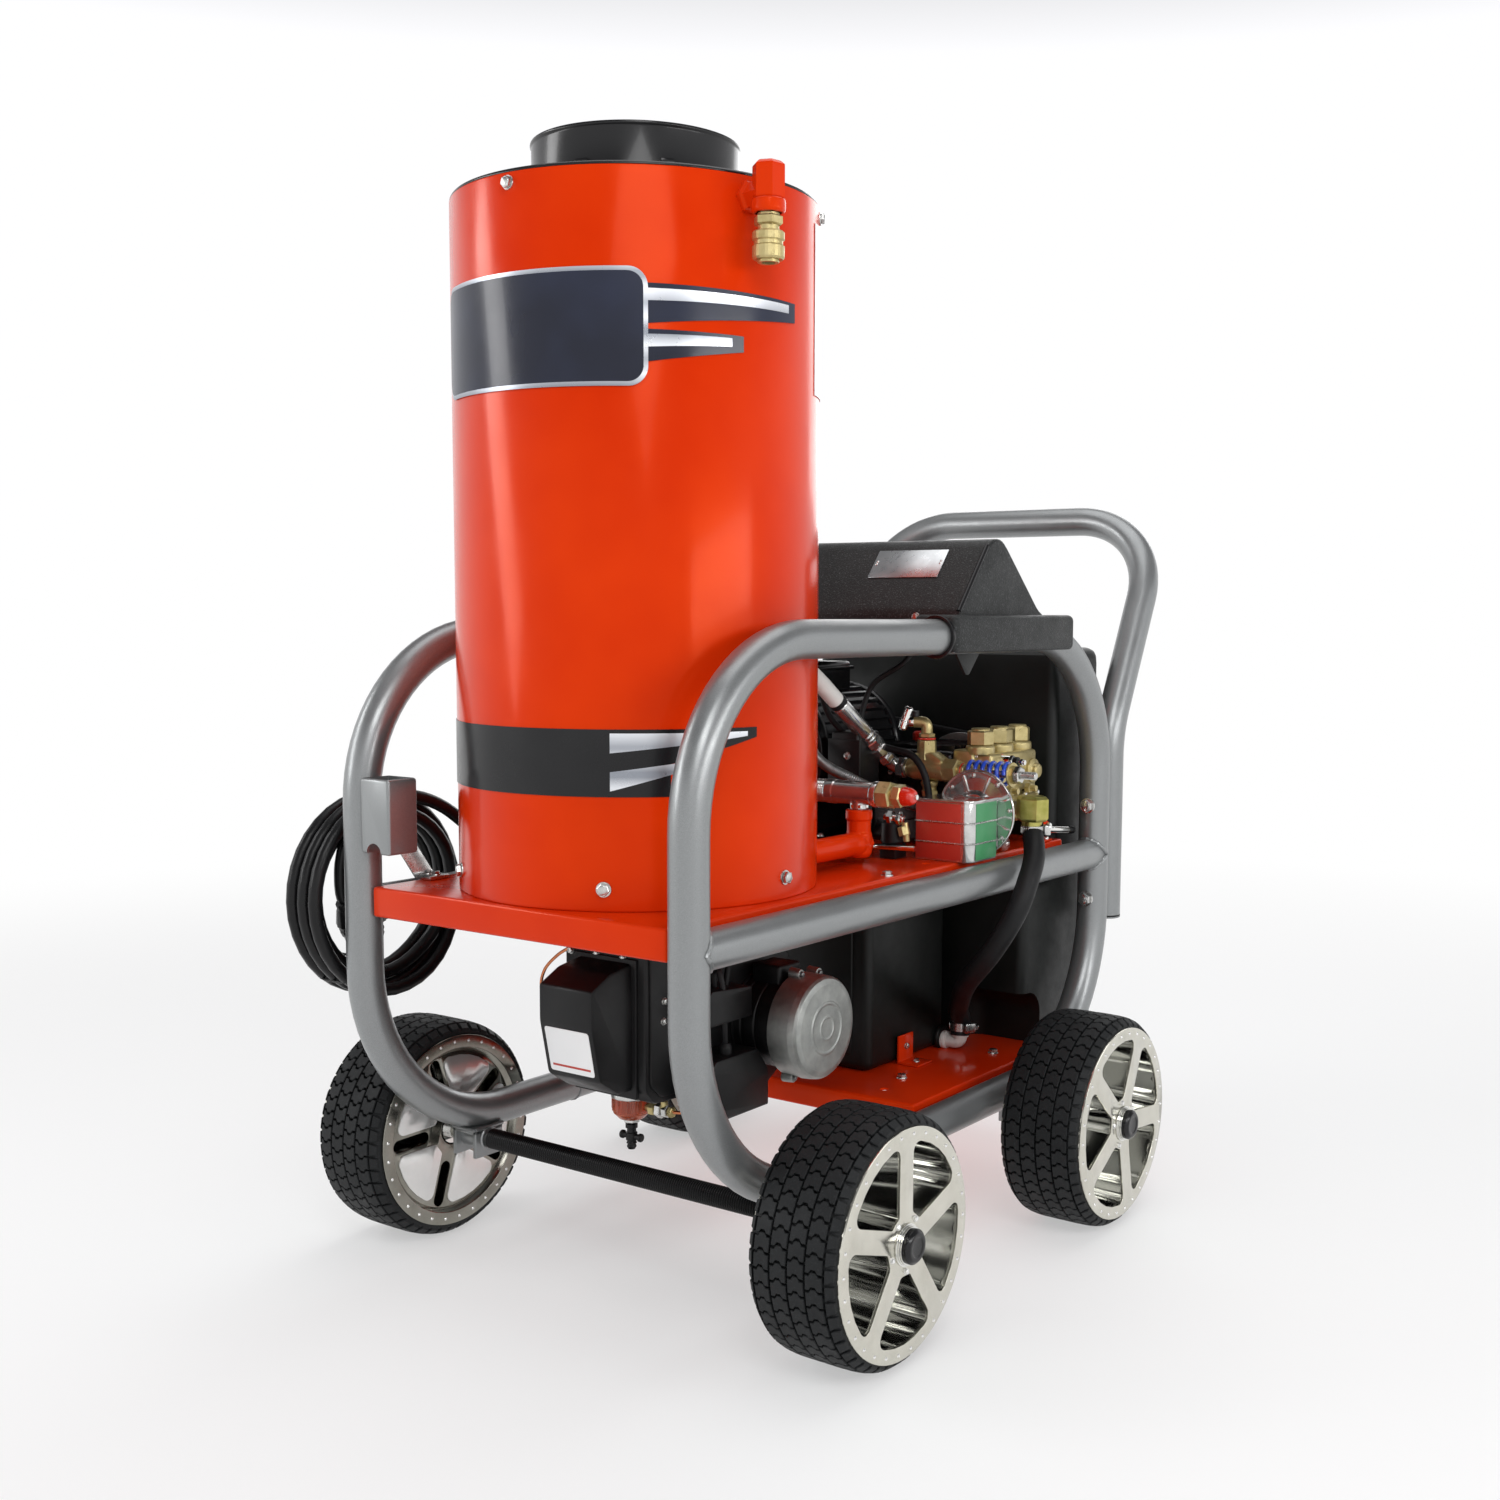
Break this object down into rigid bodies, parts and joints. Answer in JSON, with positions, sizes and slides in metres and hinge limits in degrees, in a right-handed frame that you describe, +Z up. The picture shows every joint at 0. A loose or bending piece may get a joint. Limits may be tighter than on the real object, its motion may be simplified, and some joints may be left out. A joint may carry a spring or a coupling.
{
  "type": "portable hot water pressure washer",
  "caption": "Wheeled tube-frame hot water pressure washer: upright round boiler with burner below, belt-driven pump under a hood, tanks, push handle and coiled power cord.",
  "frame": {"origin": "on the floor, below the middle of the outline", "axes": "+Z up; +X towards the pump side; -Y towards the boiler end, +Y towards the push handle"},
  "size_m": [0.804, 1.1642, 1.294],
  "materials": {
    "frame_silver": "silver satin",
    "orange": "gloss orange enamel",
    "chrome": "polished",
    "steel": "plated",
    "brass": "machined",
    "motor_grey": "cast, matt",
    "black_metal": "satin black paint",
    "black_plastic": "textured moulded",
    "hose_rubber": "matt",
    "tyre": "matt turf tread",
    "spring_blue": "blue enamel",
    "amber": "tinted",
    "red_plastic": "satin",
    "cord": "matt jacket"
  },
  "bodies": {
    "machine": {"left_frame_loop": "frame_silver", "left_mid_rail": "frame_silver", "right_frame_loop": "frame_silver", "right_mid_rail": "frame_silver", "handle": "frame_silver", "wand_holder": "frame_silver", "cord_hook": "steel", "upper_deck": "orange", "lower_deck": "orange", "front_axle": "steel", "rear_axle": "steel", "axle_guard": "hose_rubber", "boiler_shell": "orange", "boiler_top": "black_metal", "heating_coil": "steel", "outlet_elbow": "orange", "coupler_body": "brass", "coil_inlet_elbow": "orange", "burner_housing": "black_plastic", "burner_cover": "black_plastic", "burner_motor": "motor_grey", "fuel_filter": "amber", "drive_motor": "black_metal", "drive_belt": "hose_rubber", "pump_crankcase": "black_metal", "pump_head": "brass", "unloader_body": "brass", "unloader_spring": "spring_blue", "pressure_switch": "chrome", "manifold_tee": "steel", "high_pressure_hose": "hose_rubber", "suction_hose": "hose_rubber", "float_tank": "black_plastic", "fuel_tank": "black_plastic", "control_hood": "black_plastic", "cord_gland": "black_plastic", "power_lead": "cord", "cord_coil": "cord", "cord_plug": "black_plastic"},
    "front_left_wheel": {"front_left_rim": "chrome", "front_left_tyre": "tyre", "front_left_hub_cap": "black_plastic"},
    "front_right_wheel": {"front_right_rim": "chrome", "front_right_tyre": "tyre", "front_right_hub_cap": "black_plastic"},
    "rear_left_wheel": {"rear_left_rim": "chrome", "rear_left_tyre": "tyre", "rear_left_hub_cap": "black_plastic"},
    "rear_right_wheel": {"rear_right_rim": "chrome", "rear_right_tyre": "tyre", "rear_right_hub_cap": "black_plastic"},
    "coupler_sleeve": {"coupler_sleeve": "brass"},
    "burner_fan": {"burner_fan": "steel"},
    "motor_pulley": {"motor_pulley": "motor_grey"},
    "pump_pulley": {"pump_pulley": "motor_grey"},
    "unloader_adjuster": {"unloader_adjuster": "steel"},
    "drain_valve": {"drain_valve": "black_plastic"},
    "fuel_cap": {"fuel_cap": "red_plastic"},
    "thermostat_knob": {"thermostat_knob": "black_plastic"},
    "rocker_switch": {"rocker_switch": "red_plastic"}
  },
  "joints": [
    {"name": "front_left_wheel_spin", "type": "hinge", "parent": "machine", "child": "front_left_wheel", "pos_m": [0, -0.3778, 0.135], "axis": [1, 0, 0], "continuous": true},
    {"name": "front_right_wheel_spin", "type": "hinge", "parent": "machine", "child": "front_right_wheel", "pos_m": [0, -0.3778, 0.135], "axis": [1, 0, 0], "continuous": true},
    {"name": "rear_left_wheel_spin", "type": "hinge", "parent": "machine", "child": "rear_left_wheel", "pos_m": [0, 0.1447, 0.135], "axis": [1, 0, 0], "continuous": true},
    {"name": "rear_right_wheel_spin", "type": "hinge", "parent": "machine", "child": "rear_right_wheel", "pos_m": [0, 0.1447, 0.135], "axis": [1, 0, 0], "continuous": true},
    {"name": "coupler_sleeve_slide", "type": "slide", "parent": "machine", "child": "coupler_sleeve", "axis": [0, 0, 1], "range_m": [0, 0.005], "stiffness_N_per_m": 400, "springref_m": -0.003},
    {"name": "burner_fan_spin", "type": "hinge", "parent": "machine", "child": "burner_fan", "pos_m": [0, -0.199, 0.294], "axis": [1, 0, 0], "continuous": true},
    {"name": "motor_pulley_spin", "type": "hinge", "parent": "machine", "child": "motor_pulley", "pos_m": [-0.095, 0.28, 0.592], "axis": [0, 1, 0], "continuous": true},
    {"name": "pump_pulley_spin", "type": "hinge", "parent": "machine", "child": "pump_pulley", "pos_m": [0.07, 0.28, 0.545], "axis": [0, 1, 0], "continuous": true},
    {"name": "unloader_adjuster_turn", "type": "hinge", "parent": "machine", "child": "unloader_adjuster", "pos_m": [0.2, 0.104, 0.577], "axis": [1, 0, 0], "range_deg": [-360, 360]},
    {"name": "drain_valve_turn", "type": "hinge", "parent": "machine", "child": "drain_valve", "pos_m": [0, -0.362, 0.174], "axis": [0, 0, 1], "range_deg": [0, 180]},
    {"name": "fuel_cap_turn", "type": "hinge", "parent": "machine", "child": "fuel_cap", "pos_m": [0, 0.371, 0.76], "axis": [0, 0, 1], "range_deg": [0, 90]},
    {"name": "thermostat_knob_turn", "type": "hinge", "parent": "machine", "child": "thermostat_knob", "pos_m": [0.07, 0.1185, 0.827], "axis": [0, 0.6675, 0.7446], "range_deg": [0, 270]},
    {"name": "rocker_switch_tilt", "type": "hinge", "parent": "machine", "child": "rocker_switch", "pos_m": [-0.08, 0.11883, 0.82737], "axis": [1, 0, 0], "range_deg": [0, 12]}
  ],
  "couplings": [
    {"joint": "pump_pulley_spin", "follows": "motor_pulley_spin", "ratio": 0.59677}
  ]
}
